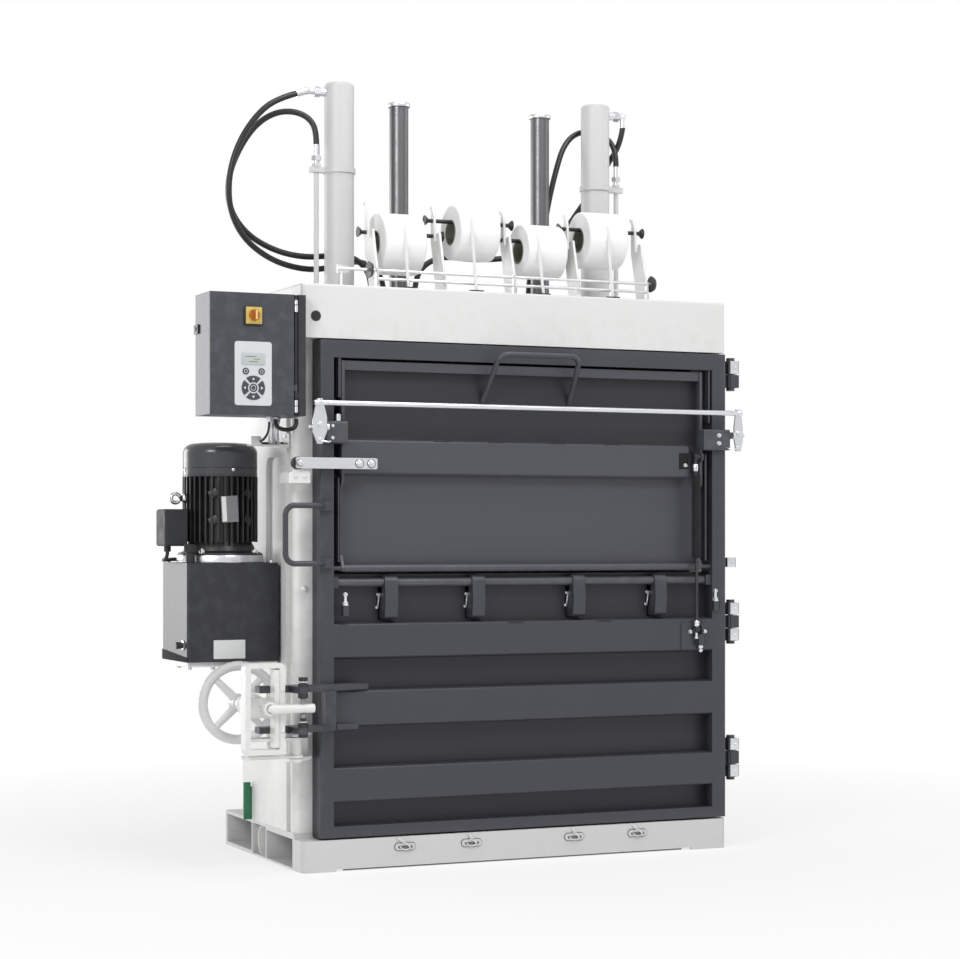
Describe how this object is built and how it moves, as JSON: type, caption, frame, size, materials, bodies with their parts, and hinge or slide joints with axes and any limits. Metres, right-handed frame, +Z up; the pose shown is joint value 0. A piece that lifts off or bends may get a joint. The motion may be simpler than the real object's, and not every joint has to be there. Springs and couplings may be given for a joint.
{
  "type": "recycling baler",
  "caption": "Vertical baling press with overhead cylinders, side-hinged door with tipping loading flap, strap reels on top and a power unit at the side.",
  "frame": {"origin": "middle of the base's underside, on the floor", "axes": "+X to the machine's right, +Y to its back, +Z up"},
  "size_m": [1.7535, 0.819, 2.32],
  "materials": {
    "white_paint": "powder coat, satin",
    "grey_paint": "powder coat, satin",
    "motor_paint": "satin enamel",
    "zinc": "zinc plated",
    "steel": "drawn steel",
    "chrome": "hard chrome",
    "hose_rubber": "matte",
    "black_plastic": "matte",
    "reel_tape": "woven tape",
    "green_paint": "powder coat, satin",
    "keypad_foil": "membrane foil",
    "switch_red": "glossy"
  },
  "bodies": {
    "frame": {"base_frame": "white_paint", "ejector_strap": "white_paint", "left_side_wall": "white_paint", "right_side_wall": "white_paint", "rear_wall": "white_paint", "press_head": "white_paint", "left_cylinder": "white_paint", "right_cylinder": "white_paint", "reel_rack": "white_paint", "reel_axles": "black_plastic", "tape_rods": "zinc", "tape_guides": "black_plastic", "hydraulic_pipes": "zinc", "hose_fittings": "zinc", "hose_left_outer": "hose_rubber", "hose_left_inner": "hose_rubber", "hose_right": "hose_rubber", "hose_centre": "hose_rubber", "oil_tank": "grey_paint", "tank_tray": "white_paint", "tank_fittings": "zinc", "motor_bell": "motor_paint", "motor_housing": "motor_paint", "motor_cowl": "motor_paint", "terminal_box": "motor_paint", "control_box": "grey_paint", "hinge_leaves": "grey_paint", "hinge_pins": "grey_paint", "column_brackets": "white_paint"},
    "platen": {"press_platen": "grey_paint", "piston_rods": "chrome", "guide_rods": "steel"},
    "door": {"door_frame": "grey_paint", "door_handle": "grey_paint", "lock_arms": "grey_paint", "door_bolts": "zinc", "claw_shaft": "grey_paint"},
    "roller": {"guide_roller": "black_plastic"},
    "flap": {"loading_flap": "grey_paint", "flap_handle": "grey_paint", "flap_arm": "zinc"},
    "bail": {"bail_bar": "zinc"},
    "gas_rod": {"gas_spring_rod": "chrome"},
    "gas_cylinder": {"gas_spring_cylinder": "black_plastic"},
    "lock": {"lock_frame": "white_paint", "lock_jaws": "grey_paint"},
    "hook": {"lock_hook": "white_paint"},
    "wheel": {"handwheel": "white_paint"},
    "ejector": {"ejector_lever": "green_paint"},
    "box_door": {"control_box_door": "grey_paint", "keypad": "keypad_foil"},
    "switch": {"main_switch_knob": "switch_red"},
    "reel_1": {"tape_reel_1": "reel_tape"},
    "claw_1": {"retaining_claw_1": "grey_paint"},
    "reel_2": {"tape_reel_2": "reel_tape"},
    "claw_2": {"retaining_claw_2": "grey_paint"},
    "reel_3": {"tape_reel_3": "reel_tape"},
    "claw_3": {"retaining_claw_3": "grey_paint"},
    "reel_4": {"tape_reel_4": "reel_tape"},
    "claw_4": {"retaining_claw_4": "grey_paint"}
  },
  "joints": [
    {"name": "platen_press", "type": "slide", "parent": "frame", "child": "platen", "axis": [0, 0, -1], "range_m": [0, 0.56]},
    {"name": "door_swing", "type": "hinge", "parent": "frame", "child": "door", "pos_m": [0.725, -0.316, 0.8], "axis": [0, 0, 1], "range_deg": [0, 110]},
    {"name": "roller_spin", "type": "hinge", "parent": "flap", "child": "roller", "pos_m": [-0.7065, -0.367, 1.1595], "axis": [0, 1, 0], "continuous": true},
    {"name": "flap_tip", "type": "hinge", "parent": "door", "child": "flap", "pos_m": [0, -0.335, 0.862], "axis": [1, 0, 0], "range_deg": [0, 90]},
    {"name": "bail_tilt", "type": "hinge", "parent": "flap", "child": "bail", "pos_m": [0, -0.362, 1.262], "axis": [1, 0, 0], "range_deg": [0, 35]},
    {"name": "gas_rod_swing", "type": "hinge", "parent": "door", "child": "gas_rod", "pos_m": [0.5775, -0.366, 0.671], "axis": [1, 0, 0], "range_deg": [0, 62.3]},
    {"name": "gas_spring_stroke", "type": "slide", "parent": "gas_rod", "child": "gas_cylinder", "axis": [0, 0, -1], "range_m": [0, 0.1825]},
    {"name": "lock_turn", "type": "hinge", "parent": "frame", "child": "lock", "pos_m": [-0.722, -0.385, 0.36], "axis": [0, 0, 1], "range_deg": [0, 24]},
    {"name": "wheel_turn", "type": "hinge", "parent": "lock", "child": "wheel", "pos_m": [-0.815, -0.165, 0.475], "axis": [0, -1, 0], "range_deg": [0, 1800]},
    {"name": "hook_travel", "type": "slide", "parent": "lock", "child": "hook", "axis": [0, -1, 0], "range_m": [0, 0.04]},
    {"name": "ejector_swing", "type": "hinge", "parent": "frame", "child": "ejector", "pos_m": [-0.645, 0.114, 0.194], "axis": [1, 0, 0], "range_deg": [0, 60]},
    {"name": "box_door_swing", "type": "hinge", "parent": "frame", "child": "box_door", "pos_m": [-0.716, -0.38, 1.46], "axis": [0, 0, 1], "range_deg": [0, 110]},
    {"name": "switch_turn", "type": "hinge", "parent": "box_door", "child": "switch", "pos_m": [-0.8425, -0.39, 1.5675], "axis": [0, -1, 0], "range_deg": [0, 90]},
    {"name": "reel_1_spin", "type": "hinge", "parent": "frame", "child": "reel_1", "pos_m": [-0.342, -0.2, 1.8125], "axis": [1, 0, 0], "continuous": true},
    {"name": "reel_2_spin", "type": "hinge", "parent": "frame", "child": "reel_2", "pos_m": [-0.1015, -0.2, 1.8575], "axis": [1, 0, 0], "continuous": true},
    {"name": "reel_3_spin", "type": "hinge", "parent": "frame", "child": "reel_3", "pos_m": [0.1205, -0.2, 1.8125], "axis": [1, 0, 0], "continuous": true},
    {"name": "reel_4_spin", "type": "hinge", "parent": "frame", "child": "reel_4", "pos_m": [0.3235, -0.2, 1.8575], "axis": [1, 0, 0], "continuous": true},
    {"name": "claw_1_swing", "type": "hinge", "parent": "door", "child": "claw_1", "pos_m": [0, -0.325, 0.8215], "axis": [1, 0, 0], "range_deg": [-30, 0], "stiffness_Nm_per_rad": 4},
    {"name": "claw_2_swing", "type": "hinge", "parent": "door", "child": "claw_2", "pos_m": [0, -0.325, 0.8215], "axis": [1, 0, 0], "range_deg": [-30, 0], "stiffness_Nm_per_rad": 4},
    {"name": "claw_3_swing", "type": "hinge", "parent": "door", "child": "claw_3", "pos_m": [0, -0.325, 0.8215], "axis": [1, 0, 0], "range_deg": [-30, 0], "stiffness_Nm_per_rad": 4},
    {"name": "claw_4_swing", "type": "hinge", "parent": "door", "child": "claw_4", "pos_m": [0, -0.325, 0.8215], "axis": [1, 0, 0], "range_deg": [-30, 0], "stiffness_Nm_per_rad": 4}
  ],
  "couplings": [
    {"joint": "gas_rod_swing", "follows": "flap_tip", "ratio": 0.69},
    {"joint": "gas_spring_stroke", "follows": "flap_tip", "m_per_rad": 0.116},
    {"joint": "hook_travel", "follows": "wheel_turn", "m_per_rad": 0.00127}
  ]
}
